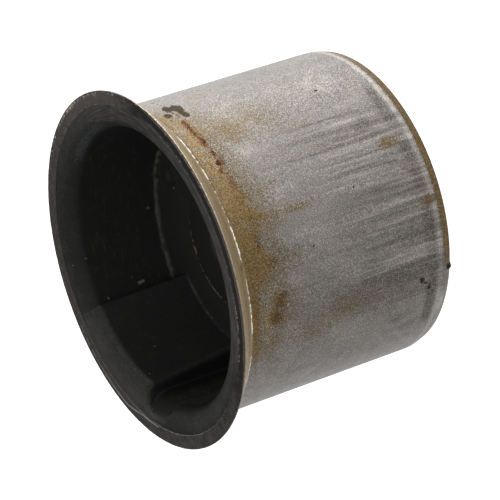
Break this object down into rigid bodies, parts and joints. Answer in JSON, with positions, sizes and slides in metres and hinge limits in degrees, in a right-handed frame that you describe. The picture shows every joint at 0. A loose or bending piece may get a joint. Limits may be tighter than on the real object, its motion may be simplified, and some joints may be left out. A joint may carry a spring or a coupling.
{
  "type": "rubber metal bush",
  "caption": "Press-in suspension bush: thin flared steel sleeve bonded to a moulded rubber body with a deep recess and one side stop pad, around a steel inner sleeve.",
  "frame": {"origin": "centre of the plain end of the outer sleeve, the end that enters the housing first", "axes": "+Z along the bush axis towards the flared rim and the open recess; +Y lies beside the stop pad, which fills the rim from about 98 to 155 degrees from +X"},
  "size_m": [0.075, 0.075, 0.053],
  "materials": {
    "sleeve_steel": "bare drawn steel with a tan adhesive overspray and light rust under the flare",
    "moulded_rubber": "matt black moulded rubber",
    "core_steel": "turned steel with a dark adhesive film"
  },
  "bodies": {
    "root": {"outer_sleeve": "sleeve_steel", "rubber_body": "moulded_rubber", "inner_sleeve": "core_steel"}
  },
  "joints": []
}
